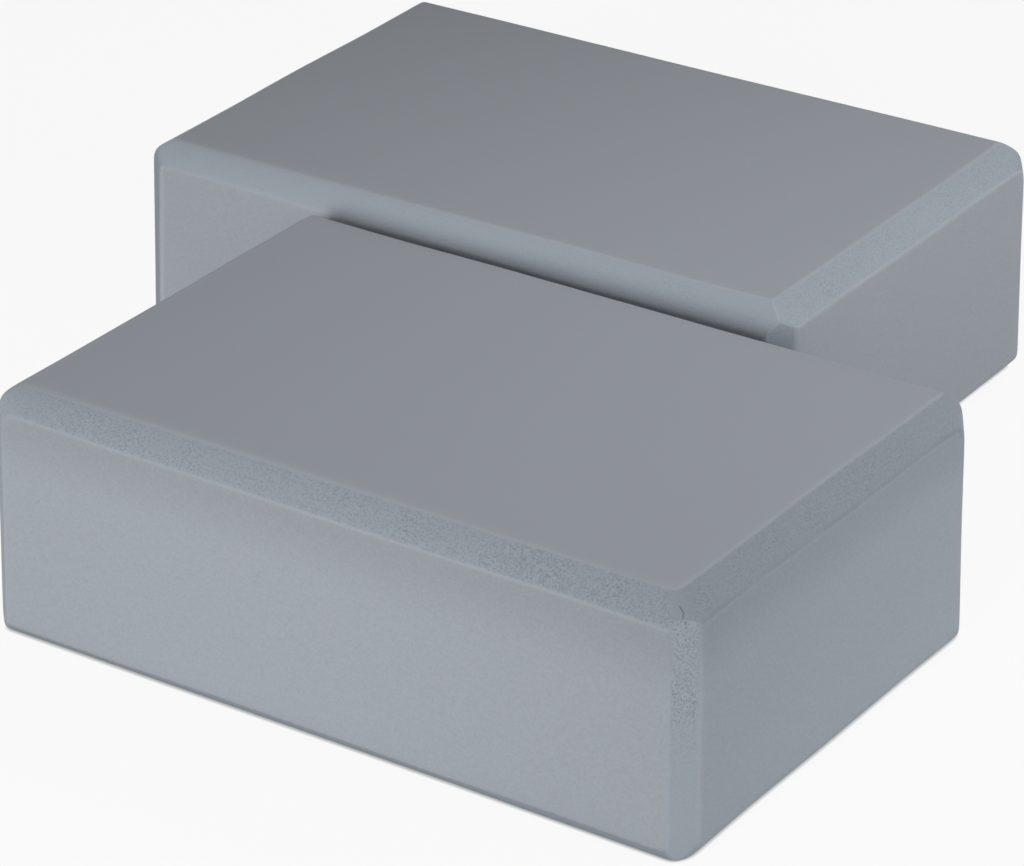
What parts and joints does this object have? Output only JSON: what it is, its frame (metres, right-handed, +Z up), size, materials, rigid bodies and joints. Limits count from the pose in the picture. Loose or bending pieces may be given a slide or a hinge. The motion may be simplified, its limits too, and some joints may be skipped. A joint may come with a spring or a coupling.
{
  "type": "yoga block pair",
  "caption": "Pair of plain grey foam yoga blocks with bevelled edges, standing side by side, as supports for hands, feet or hips.",
  "frame": {"origin": "centre of the front block's underside, on the floor", "axes": "+Z up, +X along the front block's length, +Y from the front block towards the rear block"},
  "size_m": [0.2998, 0.3131, 0.076],
  "materials": {
    "foam": "matte"
  },
  "bodies": {
    "front_block": {"front_block": "foam"},
    "rear_block": {"rear_block": "foam"}
  },
  "joints": [
    {"name": "rear_block_lift", "type": "slide", "parent": "front_block", "child": "rear_block", "axis": [0, 0, 1], "range_m": [0, 0.1]}
  ]
}
